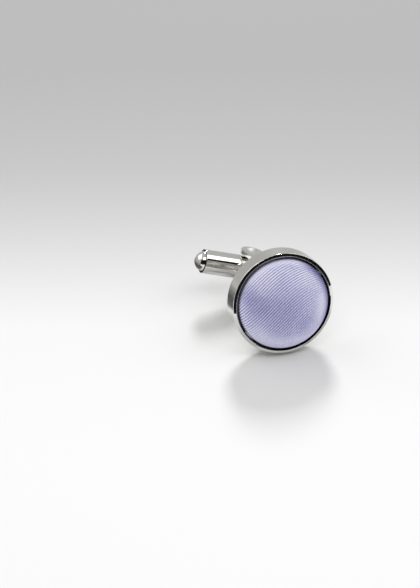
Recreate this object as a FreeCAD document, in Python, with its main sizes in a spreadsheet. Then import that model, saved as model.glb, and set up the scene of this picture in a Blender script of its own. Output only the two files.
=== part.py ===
import FreeCAD, Part
import Sketcher
import math
import os

# Round cup cufflink: a satin-covered button glued into a metal cup, with a
# two-armed stirrup at the back that carries a swivelling bullet toggle.
# The cup's back face is the plane y = 0, the button looks along -Y, the post
# runs along +Y, the toggle lies along X and turns on a pin along Z.

# Driving sizes in millimetres
SIZES = {
    # cup
    "bezel_diameter": 17.0,
    "bezel_depth": 3.6,
    "bezel_wall": 0.8,
    "bezel_floor": 0.9,
    "lip_crest_inset": 0.45,
    "lip_outer_drop": 0.2,
    "lip_inner_drop": 0.18,
    "lip_edge_round": 0.1,
    "back_round": 0.25,
    "foot_recess": 0.35,
    # covered button
    "button_clearance": 0.1,
    "cloth_thickness": 0.25,
    "shell_thickness": 0.35,
    "dome_radius": 19.0,
    "shoulder_round": 1.8,
    "shoulder_drop": 0.4,
    "turn_in_drop": 0.4,
    "plate_thickness": 0.4,
    "plate_rim_drop": 0.2,
    "plate_clearance": 0.03,
    "glue_thickness": 0.5,
    "glue_margin": 0.5,
    "glue_rivet_gap": 0.7,
    # stirrup and its rivet
    "foot_margin": 0.21,
    "foot_clearance": 0.03,
    "foot_thickness": 0.9,
    "foot_edge_round": 0.15,
    "arm_thickness": 0.95,
    "arm_width": 2.6,
    "arm_eye_radius": 1.95,
    # lean of the arm's sides where they widen into the eye, in degrees
    "arm_eye_lean": 10.0,
    "arm_root_round": 0.5,
    "arm_edge_round": 0.32,
    "arm_inner_round": 0.12,
    "rivet_diameter": 1.8,
    "rivet_head_height": 0.4,
    "rivet_head_margin": 0.1,
    "rivet_head_gap": 0.1,
    "rivet_fit": 0.01,
    # pivot
    "cuff_space": 13.6,
    "toggle_side_clearance": 0.25,
    "pin_diameter": 1.6,
    "pin_flat_depth": 0.15,
    "pin_flat_margin": 0.2,
    "pin_head_overhang": 0.15,
    "pin_head_height": 0.3,
    "pin_fit": 0.01,
    "pin_running_clearance": 0.03,
    # toggle
    "barrel_diameter": 4.0,
    "barrel_wall": 0.55,
    "barrel_length": 16.4,
    "barrel_end_round": 0.1,
    "cap_rim": 0.32,
    "cap_dome_height": 1.3,
    "cap_spigot_length": 2.2,
    "cap_fit": 0.01,
    "plunger_clearance": 0.05,
    "plunger_length": 1.8,
    "plunger_tip_bevel": 0.25,
    "plunger_stem_clearance": 0.28,
    "cam_clearance": 0.02,
    "spring_clearance": 0.15,
    "spring_wire": 0.32,
    "spring_pitch": 0.76,
}

# Positions worked out from the driving sizes
LAYOUT = {
    # cup, radii from the post axis and positions along it
    "bezel_radius": "sizes.bezel_diameter / 2",
    "bore_radius": "layout.bezel_radius - sizes.bezel_wall",
    "lip_crest": "layout.bezel_radius - sizes.lip_crest_inset",
    "lip_y": "-sizes.bezel_depth",
    "lip_edge_y": "layout.lip_y + sizes.lip_outer_drop",
    "lip_bore_y": "layout.lip_y + sizes.lip_inner_drop",
    "floor_y": "-sizes.bezel_floor",
    "recess_y": "-sizes.foot_recess",
    # cloth, outside and inside
    "button_back_y": "layout.floor_y - sizes.glue_thickness",
    "cloth_radius": "layout.bore_radius - sizes.button_clearance",
    "shoulder_y": "layout.lip_y + sizes.shoulder_drop",
    "shoulder_x": "layout.cloth_radius - sizes.shoulder_round",
    "dome_arm": "sizes.dome_radius - sizes.shoulder_round",
    "dome_y": "layout.shoulder_y + sqrt(layout.dome_arm ^ 2 - layout.shoulder_x ^ 2)",
    "cloth_top_y": "layout.dome_y - sizes.dome_radius",
    "cloth_meet_x": "layout.shoulder_x * sizes.dome_radius / layout.dome_arm",
    "cloth_meet_y": "layout.dome_y + (layout.shoulder_y - layout.dome_y) * sizes.dome_radius / layout.dome_arm",
    # shell, outside
    "shell_radius": "layout.cloth_radius - sizes.cloth_thickness",
    "shell_dome": "sizes.dome_radius - sizes.cloth_thickness",
    "shell_top_y": "layout.dome_y - layout.shell_dome",
    "shell_meet_x": "layout.shoulder_x * layout.shell_dome / layout.dome_arm",
    "shell_meet_y": "layout.dome_y + (layout.shoulder_y - layout.dome_y) * layout.shell_dome / layout.dome_arm",
    "shell_edge_y": "layout.button_back_y - sizes.cloth_thickness",
    # shell, inside
    "hollow_radius": "layout.shell_radius - sizes.shell_thickness",
    "hollow_dome": "layout.shell_dome - sizes.shell_thickness",
    "hollow_top_y": "layout.dome_y - layout.hollow_dome",
    "hollow_meet_x": "layout.shoulder_x * layout.hollow_dome / layout.dome_arm",
    "hollow_meet_y": "layout.dome_y + (layout.shoulder_y - layout.dome_y) * layout.hollow_dome / layout.dome_arm",
    # turned-in cloth, back plate and glue
    "turn_in_radius": "layout.hollow_radius - sizes.cloth_thickness",
    "turn_in_y": "layout.shoulder_y + sizes.turn_in_drop",
    "plate_radius": "layout.turn_in_radius - sizes.plate_clearance",
    "plate_inner_radius": "layout.plate_radius - sizes.plate_thickness",
    "plate_front_y": "layout.button_back_y - sizes.plate_thickness",
    "plate_rim_y": "layout.turn_in_y + sizes.plate_rim_drop",
    "glue_radius": "layout.turn_in_radius - sizes.glue_margin",
    "glue_inner_radius": "layout.rivet_head + sizes.glue_rivet_gap",
    # stirrup
    "barrel_radius": "sizes.barrel_diameter / 2",
    "arm_half": "sizes.arm_width / 2",
    "arm_half_left": "-layout.arm_half",
    "arm_inside": "layout.barrel_radius + sizes.toggle_side_clearance",
    "arm_inside_low": "-layout.arm_inside",
    "arm_outside": "layout.arm_inside + sizes.arm_thickness",
    "arm_outside_low": "-layout.arm_outside",
    "arm_span": "2 * layout.arm_outside",
    "foot_radius": "sqrt(layout.arm_outside ^ 2 + layout.arm_half ^ 2) + sizes.foot_margin",
    "foot_y": "layout.recess_y + sizes.foot_thickness",
    "recess_radius": "layout.foot_radius + sizes.foot_clearance",
    "pivot_y": "sizes.cuff_space + layout.barrel_radius",
    "arm_end_y": "layout.pivot_y + sizes.arm_eye_radius",
    "slot_end_y": "layout.pivot_y + 2 * sizes.arm_eye_radius",
    # where the leaning sides touch the eye and where they leave the straight arm
    "eye_side": "sizes.arm_eye_radius * cos(sizes.arm_eye_lean)",
    "eye_side_left": "-layout.eye_side",
    "eye_low_y": "layout.pivot_y - sizes.arm_eye_radius * sin(sizes.arm_eye_lean)",
    "neck_y": "layout.eye_low_y - (layout.eye_side - layout.arm_half) / tan(sizes.arm_eye_lean)",
    # rivet through the cup floor and the foot
    "rivet_radius": "sizes.rivet_diameter / 2",
    "rivet_hole": "layout.rivet_radius + sizes.rivet_fit",
    "rivet_head": "layout.arm_inside - sizes.arm_root_round - sizes.rivet_head_margin",
    "rivet_inner_y": "layout.button_back_y + sizes.rivet_head_gap",
    "rivet_outer_y": "layout.foot_y + sizes.rivet_head_height",
    # pivot pin, from its own middle
    "pin_radius": "sizes.pin_diameter / 2",
    "pin_hole": "layout.pin_radius + sizes.pin_fit",
    "pin_head": "layout.pin_radius + sizes.pin_head_overhang",
    "pin_top": "layout.arm_outside + sizes.pin_head_height",
    "pin_bottom": "-layout.pin_top",
    "flat_half": "layout.pin_radius - sizes.pin_flat_depth",
    "flat_half_low": "-layout.flat_half",
    "flat_reach": "sizes.pin_diameter",
    "flat_reach_low": "-layout.flat_reach",
    "flat_length": "2 * (layout.tube_bore - sizes.pin_flat_margin)",
    # toggle, from the pivot along its own axis
    "tube_bore": "layout.barrel_radius - sizes.barrel_wall",
    "barrel_end": "sizes.barrel_length / 2",
    "barrel_end_left": "-layout.barrel_end",
    "cross_hole": "layout.pin_radius + sizes.pin_running_clearance",
    "cap_dome_radius": "layout.barrel_radius - sizes.cap_rim",
    "cap_tip": "layout.barrel_end + sizes.cap_dome_height",
    "spigot_radius": "layout.tube_bore - sizes.cap_fit",
    "spigot_end": "layout.barrel_end - sizes.cap_spigot_length",
    "plunger_radius": "layout.tube_bore - sizes.plunger_clearance",
    "plunger_tip": "layout.pin_radius + sizes.cam_clearance",
    "plunger_tip_radius": "layout.plunger_radius - sizes.plunger_tip_bevel",
    "plunger_bevel_end": "layout.plunger_tip + sizes.plunger_tip_bevel",
    "plunger_shoulder": "layout.plunger_tip + sizes.plunger_length",
    "spring_radius": "layout.tube_bore - sizes.spring_clearance",
    "stem_radius": "layout.spring_radius - sizes.spring_wire - sizes.plunger_stem_clearance",
    "stem_end": "(layout.plunger_shoulder + layout.spigot_end) / 2",
}

# How near two numbers have to be to count as the same place, in millimetres
SAME_PLACE = 1e-4
# Search for the point where two arcs of the coil meet: its bounds, as shares of the coil's radius,
# and how often they are halved
MEETING_NEAREST = 0.9
MEETING_FARTHEST = 1.1
HALVINGS = 60
# Points per turn at which the gap between the spring's turns is measured
POINTS_PER_TURN = 72

doc = FreeCAD.newDocument("cufflink")
PARTS = []


def fill_sheet(name, cells):
    """Writes one named cell a row, as a plain number or as a formula."""
    sheet = doc.addObject("Spreadsheet::Sheet", name)
    for row, (alias, content) in enumerate(cells.items(), start=1):
        text = "=" + content if isinstance(content, str) else str(content)
        sheet.set("A%d" % row, alias)
        sheet.set("B%d" % row, text)
        sheet.setAlias("B%d" % row, alias)
    doc.recompute()
    return sheet


sizes = fill_sheet("sizes", SIZES)
layout = fill_sheet("layout", LAYOUT)


def number(alias):
    """The value of a named size or position; None stands for zero."""
    if alias is None:
        return 0.0
    sheet = sizes if alias in SIZES else layout
    return float(sheet.get(alias))


def cell(alias):
    """The cell that a dimension is bound to."""
    return ("sizes." if alias in SIZES else "layout.") + alias


def new_body(label):
    body = doc.addObject("PartDesign::Body", label)
    body.Label = label
    PARTS.append(body)
    return body


def new_sketch(body, role):
    """A sketch on one of the body's own base planes."""
    sketch = body.newObject("Sketcher::SketchObject", body.Name + "_sketch")
    plane = next(item for item in body.Origin.OriginFeatures if item.Role == role)
    sketch.AttachmentSupport = (plane, "")
    sketch.MapMode = "FlatFace"
    return sketch


def fix_coordinate(sketch, kind, geometry, point, alias):
    """Ties one coordinate of a sketch point to a cell, or to the axis for None."""
    if alias is None:
        axis = -2 if kind == "DistanceX" else -1
        sketch.addConstraint(Sketcher.Constraint("PointOnObject", geometry, point, axis))
        return
    constraint = Sketcher.Constraint(kind, -1, 1, geometry, point, number(alias))
    index = sketch.addConstraint(constraint)
    sketch.setExpression("Constraints[%d]" % index, cell(alias))


def arc_between(start, end, centre_on):
    """The shorter arc between two points, its centre known in one direction."""
    kind, alias = centre_on
    known = number(alias)
    middle = (start + end) * 0.5
    step = end - start
    if kind == "DistanceX":
        centre = FreeCAD.Vector(known, middle.y - (known - middle.x) * step.x / step.y, 0)
    else:
        centre = FreeCAD.Vector(middle.x - (known - middle.y) * step.y / step.x, known, 0)
    outward = (middle - centre).normalize()
    return Part.Arc(start, centre + outward * (start - centre).Length, end)


def closed_profile(sketch, corners, arcs=None):
    """A closed outline whose corners, and arc centres, are tied to cells."""
    arcs = arcs or {}
    first = sketch.GeometryCount
    points = [FreeCAD.Vector(number(x), number(y), 0) for x, y in corners]
    ends = []
    for index, start in enumerate(points):
        end = points[(index + 1) % len(points)]
        if index in arcs:
            geometry = sketch.addGeometry(arc_between(start, end, arcs[index]), False)
        else:
            geometry = sketch.addGeometry(Part.LineSegment(start, end), False)
        forward = (sketch.getPoint(geometry, 1) - start).Length < SAME_PLACE
        ends.append((1, 2) if forward else (2, 1))
    for index in range(len(points)):
        after = (index + 1) % len(points)
        joined = Sketcher.Constraint(
            "Coincident", first + index, ends[index][1], first + after, ends[after][0]
        )
        sketch.addConstraint(joined)
    for index, (x, y) in enumerate(corners):
        fix_coordinate(sketch, "DistanceX", first + index, ends[index][0], x)
        fix_coordinate(sketch, "DistanceY", first + index, ends[index][0], y)
    for index, (kind, alias) in arcs.items():
        fix_coordinate(sketch, kind, first + index, 3, alias)


def circle_profile(sketch, x, y, radius):
    """A circle with its centre and radius tied to cells."""
    centre = FreeCAD.Vector(number(x), number(y), 0)
    circle = Part.Circle(centre, FreeCAD.Vector(0, 0, 1), number(radius))
    geometry = sketch.addGeometry(circle, False)
    fix_coordinate(sketch, "DistanceX", geometry, 3, x)
    fix_coordinate(sketch, "DistanceY", geometry, 3, y)
    index = sketch.addConstraint(Sketcher.Constraint("Radius", geometry, number(radius)))
    sketch.setExpression("Constraints[%d]" % index, cell(radius))


def turned(body, corners, arcs=None, axis="V_Axis", kind="PartDesign::Revolution"):
    """A profile turned round the sketch's upright or level axis."""
    sketch = new_sketch(body, "XY_Plane")
    closed_profile(sketch, corners, arcs)
    feature = body.newObject(kind, body.Name + "_turned")
    feature.Profile = sketch
    feature.ReferenceAxis = (sketch, [axis])
    feature.Angle = 360
    doc.recompute()
    return feature


def symmetric(body, sketch, kind, length):
    """A pad or pocket of a given length, half on each side of its sketch."""
    feature = body.newObject(kind, body.Name + "_cut")
    feature.Profile = sketch
    feature.SideType = "Symmetric"
    feature.setExpression("Length", cell(length))
    doc.recompute()
    return feature


def rounded(body, base, edges, radius):
    """Rounds the named edges of a feature."""
    feature = body.newObject("PartDesign::Fillet", body.Name + "_round")
    feature.Base = (base, edges)
    feature.setExpression("Radius", cell(radius))
    doc.recompute()
    return feature


def chosen_edges(base, wanted):
    """Names of the edges of a feature that a test function accepts."""
    found = []
    for index, edge in enumerate(base.Shape.Edges, start=1):
        if wanted(edge):
            found.append("Edge%d" % index)
    return found


def ring(radius, centre):
    """A test for a whole circular edge of a given radius round a given centre."""

    def wanted(edge):
        if not isinstance(edge.Curve, Part.Circle):
            return False
        same_radius = abs(edge.Curve.Radius - radius) < SAME_PLACE
        return same_radius and (edge.Curve.Center - centre).Length < SAME_PLACE

    return wanted


def at_pivot(body, half_turn):
    """Places a toggle piece on the pivot, turned end for end if it is the left one."""
    body.Placement = FreeCAD.Placement(
        FreeCAD.Vector(0, number("pivot_y"), 0),
        FreeCAD.Rotation(FreeCAD.Vector(0, 0, 1), 180 if half_turn else 0),
    )
    body.setExpression("Placement.Base.y", cell("pivot_y"))


# Cup and button
def make_bezel_cup():
    body = new_body("bezel_cup")
    cup = turned(
        body,
        [
            ("rivet_hole", "recess_y"),
            ("recess_radius", "recess_y"),
            ("recess_radius", None),
            ("bezel_radius", None),
            ("bezel_radius", "lip_edge_y"),
            ("lip_crest", "lip_y"),
            ("bore_radius", "lip_bore_y"),
            ("bore_radius", "floor_y"),
            ("rivet_hole", "floor_y"),
        ],
    )
    lip_edge = FreeCAD.Vector(0, number("lip_edge_y"), 0)
    lip = chosen_edges(cup, ring(number("bezel_radius"), lip_edge))
    cup = rounded(body, cup, lip, "lip_edge_round")
    back = chosen_edges(cup, ring(number("bezel_radius"), FreeCAD.Vector(0, 0, 0)))
    rounded(body, cup, back, "back_round")


def make_satin_cover():
    body = new_body("satin_cover")
    turned(
        body,
        [
            (None, "cloth_top_y"),
            ("cloth_meet_x", "cloth_meet_y"),
            ("cloth_radius", "shoulder_y"),
            ("cloth_radius", "button_back_y"),
            ("turn_in_radius", "button_back_y"),
            ("turn_in_radius", "turn_in_y"),
            ("hollow_radius", "turn_in_y"),
            ("hollow_radius", "shell_edge_y"),
            ("shell_radius", "shell_edge_y"),
            ("shell_radius", "shoulder_y"),
            ("shell_meet_x", "shell_meet_y"),
            (None, "shell_top_y"),
        ],
        {
            0: ("DistanceX", None),
            1: ("DistanceY", "shoulder_y"),
            9: ("DistanceY", "shoulder_y"),
            10: ("DistanceX", None),
        },
    )


def make_button_shell():
    body = new_body("button_shell")
    turned(
        body,
        [
            (None, "shell_top_y"),
            ("shell_meet_x", "shell_meet_y"),
            ("shell_radius", "shoulder_y"),
            ("shell_radius", "shell_edge_y"),
            ("hollow_radius", "shell_edge_y"),
            ("hollow_radius", "shoulder_y"),
            ("hollow_meet_x", "hollow_meet_y"),
            (None, "hollow_top_y"),
        ],
        {
            0: ("DistanceX", None),
            1: ("DistanceY", "shoulder_y"),
            5: ("DistanceY", "shoulder_y"),
            6: ("DistanceX", None),
        },
    )


def make_button_back_plate():
    body = new_body("button_back_plate")
    turned(
        body,
        [
            (None, "button_back_y"),
            ("plate_radius", "button_back_y"),
            ("plate_radius", "plate_rim_y"),
            ("plate_inner_radius", "plate_rim_y"),
            ("plate_inner_radius", "plate_front_y"),
            (None, "plate_front_y"),
        ],
    )


def make_adhesive_ring():
    body = new_body("adhesive_ring")
    turned(
        body,
        [
            ("glue_inner_radius", "floor_y"),
            ("glue_radius", "floor_y"),
            ("glue_radius", "button_back_y"),
            ("glue_inner_radius", "button_back_y"),
        ],
    )


# Stirrup, its rivet and the pivot pin
def on_arm_face(face, above):
    """A test for the edges round the outer or inner faces of both arms."""
    height = number(face)
    lowest = number(above) + SAME_PLACE

    def wanted(edge):
        points = edge.discretize(3)
        level = all(abs(abs(point.z) - height) < SAME_PLACE for point in points)
        return level and any(point.y > lowest for point in points)

    return wanted


def in_slot_corner(edge):
    """A test for the two corners at the bottom of the slot between the arms."""
    for point in edge.discretize(3):
        off_arm = abs(abs(point.z) - number("arm_inside"))
        off_foot = abs(point.y - number("foot_y"))
        if max(off_arm, off_foot) > SAME_PLACE:
            return False
    return True


def make_stirrup():
    body = new_body("stirrup")
    outline = new_sketch(body, "XY_Plane")
    closed_profile(
        outline,
        [
            ("arm_half_left", "recess_y"),
            ("arm_half", "recess_y"),
            ("arm_half", "neck_y"),
            ("eye_side", "eye_low_y"),
            (None, "arm_end_y"),
            ("eye_side_left", "eye_low_y"),
            ("arm_half_left", "neck_y"),
        ],
        {3: ("DistanceX", None), 4: ("DistanceX", None)},
    )
    block = symmetric(body, outline, "PartDesign::Pad", "arm_span")
    block = rounded(
        body, block, chosen_edges(block, on_arm_face("arm_outside", "recess_y")), "arm_edge_round"
    )
    slot = new_sketch(body, "YZ_Plane")
    closed_profile(
        slot,
        [
            ("foot_y", "arm_inside_low"),
            ("slot_end_y", "arm_inside_low"),
            ("slot_end_y", "arm_inside"),
            ("foot_y", "arm_inside"),
        ],
    )
    fork = symmetric(body, slot, "PartDesign::Pocket", "arm_span")
    fork = rounded(body, fork, chosen_edges(fork, in_slot_corner), "arm_root_round")
    rounded(body, fork, chosen_edges(fork, on_arm_face("arm_inside", "foot_y")), "arm_inner_round")
    foot = turned(
        body,
        [
            (None, "recess_y"),
            ("foot_radius", "recess_y"),
            ("foot_radius", "foot_y"),
            (None, "foot_y"),
        ],
    )
    brim = ring(number("foot_radius"), FreeCAD.Vector(0, number("foot_y"), 0))
    rounded(body, foot, chosen_edges(foot, brim), "foot_edge_round")
    turned(
        body,
        [
            (None, "recess_y"),
            ("rivet_hole", "recess_y"),
            ("rivet_hole", "foot_y"),
            (None, "foot_y"),
        ],
        kind="PartDesign::Groove",
    )
    hole = new_sketch(body, "XY_Plane")
    circle_profile(hole, None, "pivot_y", "pin_hole")
    symmetric(body, hole, "PartDesign::Pocket", "arm_span")


def make_base_rivet():
    body = new_body("base_rivet")
    turned(
        body,
        [
            (None, "rivet_inner_y"),
            ("rivet_head", "rivet_inner_y"),
            ("rivet_head", "floor_y"),
            ("rivet_radius", "floor_y"),
            ("rivet_radius", "foot_y"),
            ("rivet_head", "foot_y"),
            (None, "rivet_outer_y"),
        ],
        {5: ("DistanceX", None)},
    )


def make_pivot_pin():
    body = new_body("pivot_pin")
    sketch = new_sketch(body, "XZ_Plane")
    closed_profile(
        sketch,
        [
            (None, "pin_bottom"),
            ("pin_head", "arm_outside_low"),
            ("pin_radius", "arm_outside_low"),
            ("pin_radius", "arm_outside"),
            ("pin_head", "arm_outside"),
            (None, "pin_top"),
        ],
        {0: ("DistanceX", None), 4: ("DistanceX", None)},
    )
    pin = body.newObject("PartDesign::Revolution", "pivot_pin_turned")
    pin.Profile = sketch
    pin.ReferenceAxis = (sketch, ["V_Axis"])
    pin.Angle = 360
    doc.recompute()
    flats = new_sketch(body, "XY_Plane")
    for near, far in (("flat_half", "flat_reach"), ("flat_reach_low", "flat_half_low")):
        closed_profile(
            flats,
            [
                (near, "flat_half_low"),
                (far, "flat_half_low"),
                (far, "flat_half"),
                (near, "flat_half"),
            ],
        )
        closed_profile(
            flats,
            [
                ("flat_half_low", near),
                ("flat_half", near),
                ("flat_half", far),
                ("flat_half_low", far),
            ],
        )
    symmetric(body, flats, "PartDesign::Pocket", "flat_length")
    at_pivot(body, False)


# Toggle
def make_toggle_barrel():
    body = new_body("toggle_barrel")
    tube = turned(
        body,
        [
            ("barrel_end_left", "tube_bore"),
            ("barrel_end", "tube_bore"),
            ("barrel_end", "barrel_radius"),
            ("barrel_end_left", "barrel_radius"),
        ],
        axis="H_Axis",
    )
    ends = []
    for x in (number("barrel_end_left"), number("barrel_end")):
        ends += chosen_edges(tube, ring(number("barrel_radius"), FreeCAD.Vector(x, 0, 0)))
    rounded(body, tube, ends, "barrel_end_round")
    hole = new_sketch(body, "XY_Plane")
    circle_profile(hole, None, None, "cross_hole")
    symmetric(body, hole, "PartDesign::Pocket", "arm_span")
    at_pivot(body, False)


def make_end_cap(label, half_turn):
    body = new_body(label)
    turned(
        body,
        [
            ("spigot_end", None),
            ("spigot_end", "spigot_radius"),
            ("barrel_end", "spigot_radius"),
            ("barrel_end", "cap_dome_radius"),
            ("cap_tip", None),
        ],
        {3: ("DistanceY", None)},
        axis="H_Axis",
    )
    at_pivot(body, half_turn)


def make_plunger(label, half_turn):
    body = new_body(label)
    turned(
        body,
        [
            ("plunger_tip", None),
            ("plunger_tip", "plunger_tip_radius"),
            ("plunger_bevel_end", "plunger_radius"),
            ("plunger_shoulder", "plunger_radius"),
            ("plunger_shoulder", "stem_radius"),
            ("stem_end", "stem_radius"),
            ("stem_end", None),
        ],
        axis="H_Axis",
    )
    at_pivot(body, half_turn)


def helix_point(radius, rise, start, angle):
    return FreeCAD.Vector(start + rise * angle, radius * math.cos(angle), radius * math.sin(angle))


def helix_direction(radius, rise, angle):
    return FreeCAD.Vector(rise, -radius * math.sin(angle), radius * math.cos(angle)).normalize()


def end_direction(direction, chord):
    """The direction in which an arc leaves the far end of its chord."""
    along = FreeCAD.Vector(chord).normalize()
    return along * (2 * direction.dot(along)) - direction


def arc_from(start, direction, end):
    """The arc that leaves a point in a given direction and ends at another one."""
    chord = end - start
    sideways = chord - direction * chord.dot(direction)
    radius = chord.dot(chord) / (2 * sideways.Length)
    centre = start + FreeCAD.Vector(sideways).normalize() * radius
    outward = ((start + end) * 0.5 - centre).normalize()
    return Part.Arc(start, centre + outward * radius, end).toShape()


def smooth_pair(radius, rise, start, angle, sweep):
    """Two arcs that follow a piece of the coil and meet without a kink."""
    first = helix_point(radius, rise, start, angle)
    last = helix_point(radius, rise, start, angle + sweep)
    middle = angle + sweep / 2
    spoke = FreeCAD.Vector(0, math.cos(middle), math.sin(middle))
    foot = FreeCAD.Vector(start + rise * middle, 0, 0)
    leaving = helix_direction(radius, rise, angle)
    near = radius * MEETING_NEAREST
    far = radius * MEETING_FARTHEST
    for _ in range(HALVINGS):
        reach = (near + far) / 2
        if end_direction(leaving, foot + spoke * reach - first).dot(spoke) > 0:
            far = reach
        else:
            near = reach
    meeting = foot + spoke * reach
    passing = end_direction(leaving, meeting - first)
    return [arc_from(first, leaving, meeting), arc_from(meeting, passing, last)]


def least_gap(radius, rise, start, turns, wire):
    """The least distance between the surfaces of neighbouring turns, on points."""
    step = 2 * math.pi / POINTS_PER_TURN
    points = [
        helix_point(radius, rise, start, index * step)
        for index in range(int(turns * POINTS_PER_TURN) + 1)
    ]
    half_a_turn = POINTS_PER_TURN // 2
    distances = []
    for index, point in enumerate(points):
        distances += [(point - other).Length for other in points[index + half_a_turn:]]
    return min(distances) - 2 * wire


def make_spring(label, half_turn):
    """A round wire wound from the plunger's shoulder to the cap's spigot."""
    wire = number("spring_wire") / 2
    radius = number("spring_radius") - wire
    start = number("plunger_shoulder") + wire
    length = number("spigot_end") - wire - start
    quarters = int(4 * length / number("spring_pitch"))
    sweep = math.pi / 2
    rise = length / (quarters * sweep)
    arcs = []
    for index in range(quarters):
        arcs += smooth_pair(radius, rise, start, index * sweep, sweep)
    path = Part.Wire(arcs)
    circle = Part.Circle(helix_point(radius, rise, start, 0), helix_direction(radius, rise, 0), wire)
    shell = Part.BRepOffsetAPI.MakePipeShell(path)
    shell.add(Part.Wire([circle.toShape()]))
    shell.build()
    shell.makeSolid()
    spring = doc.addObject("Part::Feature", label)
    spring.Label = label
    spring.Shape = shell.shape()
    at_pivot(spring, half_turn)
    PARTS.append(spring)
    gap = least_gap(radius, rise, start, quarters / 4, wire)
    print("%s least gap between turns %.3f mm" % (label, gap))


def build_all():
    make_bezel_cup()
    make_satin_cover()
    make_button_shell()
    make_button_back_plate()
    make_adhesive_ring()
    make_stirrup()
    make_base_rivet()
    make_pivot_pin()
    make_toggle_barrel()
    for side, half_turn in (("left", True), ("right", False)):
        make_end_cap("end_cap_" + side, half_turn)
        make_plunger("plunger_" + side, half_turn)
        make_spring("spring_" + side, half_turn)
    doc.recompute()


def write_all():
    for item in doc.Objects:
        if "Invalid" in item.State or "Error" in item.State:
            raise RuntimeError("not recomputed: " + item.Name)
    os.makedirs("parts", exist_ok=True)
    for item in PARTS:
        if item.Shape.isNull() or not item.Shape.isValid():
            raise RuntimeError("bad shape: " + item.Label)
        item.Shape.exportStep("parts/%s.step" % item.Label)
        box = item.Shape.BoundBox
        print("%-18s volume %8.3f solids %d" % (item.Label, item.Shape.Volume, len(item.Shape.Solids)), box)


build_all()
write_all()
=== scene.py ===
import math

import bpy
import numpy as np
from mathutils import Matrix, Vector


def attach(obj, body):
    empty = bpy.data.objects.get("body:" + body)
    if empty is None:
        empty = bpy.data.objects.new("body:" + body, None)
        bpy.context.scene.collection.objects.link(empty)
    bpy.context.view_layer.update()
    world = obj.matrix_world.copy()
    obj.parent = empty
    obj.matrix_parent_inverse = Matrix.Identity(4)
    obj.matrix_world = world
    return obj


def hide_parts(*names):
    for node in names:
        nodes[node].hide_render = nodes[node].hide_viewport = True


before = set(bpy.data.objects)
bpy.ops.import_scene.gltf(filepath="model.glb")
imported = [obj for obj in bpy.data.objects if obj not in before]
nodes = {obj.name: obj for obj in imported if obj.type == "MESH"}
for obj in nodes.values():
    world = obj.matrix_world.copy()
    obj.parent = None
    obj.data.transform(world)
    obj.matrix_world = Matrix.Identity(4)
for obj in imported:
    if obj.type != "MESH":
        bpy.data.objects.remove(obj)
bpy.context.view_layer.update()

MM = 0.001
FULL_TURN = 2.0 * math.pi

# Sizes of the cup, the bullet and the covered button that the finishes and the cloth follow, in millimetres
CUP_RADIUS = 8.5
LIP_FRONT = -3.6
PIVOT_BACK = 15.6
BARREL_HALF_LENGTH = 8.2
SEAM_HALF = 0.075
BUTTON_RADIUS = 7.6
DOME_RADIUS = 19.0
DOME_APEX = -6.007
SHOULDER_ROUND = 1.8
SHOULDER_REACH = 5.8
SHOULDER_LEVEL = -3.2
CLOTH_THICKNESS = 0.25
TURN_IN_REACH = 6.75
TURN_IN_TOP = -2.8
CLOTH_BACK = -1.4

# The camera's own directions in the part's frame, found from the tilt of the face in the photo
CAMERA_RIGHT = Vector((0.928, -0.290, 0.233))
CAMERA_UP = Vector((-0.141, 0.306, 0.941))
# Distance from the middle of the lip, in metres
CAMERA_DISTANCE = 0.70
PIXELS_PER_MM = 6.18
IMAGE_WIDTH = 420
IMAGE_HEIGHT = 588
# Where the middle of the lip lies in the picture, in pixels
FACE_IN_IMAGE = (283.7, 303.7)


# Small tools for building node trees

NODES_IN_ROW = 8
NODE_WIDTH = 220
NODE_HEIGHT = 260
NUMBER = "NodeSocketFloat"
VECTOR = "NodeSocketVector"


def add_node(tree, kind, settings=None, values=None):
    made = tree.nodes.new(kind)
    row, column = divmod(len(tree.nodes), NODES_IN_ROW)
    made.location = (NODE_WIDTH * column, -NODE_HEIGHT * row)
    for name, value in (settings or {}).items():
        setattr(made, name, value)
    for name, value in (values or {}).items():
        made.inputs[name].default_value = value
    return made


def feed(tree, source, socket):
    if isinstance(source, bpy.types.NodeSocket):
        tree.links.new(source, socket)
    else:
        socket.default_value = source


def calc(tree, operation, *numbers):
    made = add_node(tree, "ShaderNodeMath", {"operation": operation})
    for socket, number in zip(made.inputs, numbers):
        feed(tree, number, socket)
    return made.outputs["Value"]


def product(tree, first, *others):
    for other in others:
        first = calc(tree, "MULTIPLY", first, other)
    return first


def ramped(tree, value, low, high, from_value=0.0, to_value=1.0):
    """A soft step from one value to another, between a low and a high place."""
    made = add_node(tree, "ShaderNodeMapRange", {"interpolation_type": "SMOOTHSTEP"})
    feed(tree, value, made.inputs["Value"])
    made.inputs["From Min"].default_value = low
    made.inputs["From Max"].default_value = high
    feed(tree, from_value, made.inputs["To Min"])
    feed(tree, to_value, made.inputs["To Max"])
    return made.outputs["Result"]


def ramped_mm(tree, value, span, from_value=0.0, to_value=1.0):
    return ramped(tree, value, span[0] * MM, span[1] * MM, from_value, to_value)


def mixed_colour(tree, share, first, second, way="MIX"):
    made = add_node(tree, "ShaderNodeMix", {"data_type": "RGBA", "blend_type": way})
    feed(tree, share, made.inputs[0])
    feed(tree, first, made.inputs[6])
    feed(tree, second, made.inputs[7])
    return made.outputs[2]


def mixed_value(tree, share, first, second):
    made = add_node(tree, "ShaderNodeMix", {"data_type": "FLOAT"})
    feed(tree, share, made.inputs[0])
    feed(tree, first, made.inputs[2])
    feed(tree, second, made.inputs[3])
    return made.outputs[0]


def layered(tree, mix, base, layers):
    """Lays shares of colours or values over a base, one after the other."""
    for share, layer in layers:
        base = mix(tree, share, base, layer)
    return base


def stretched(tree, vector, across):
    made = add_node(tree, "ShaderNodeVectorMath", {"operation": "MULTIPLY"})
    feed(tree, vector, made.inputs[0])
    made.inputs[1].default_value = across
    return made.outputs["Vector"]


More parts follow.
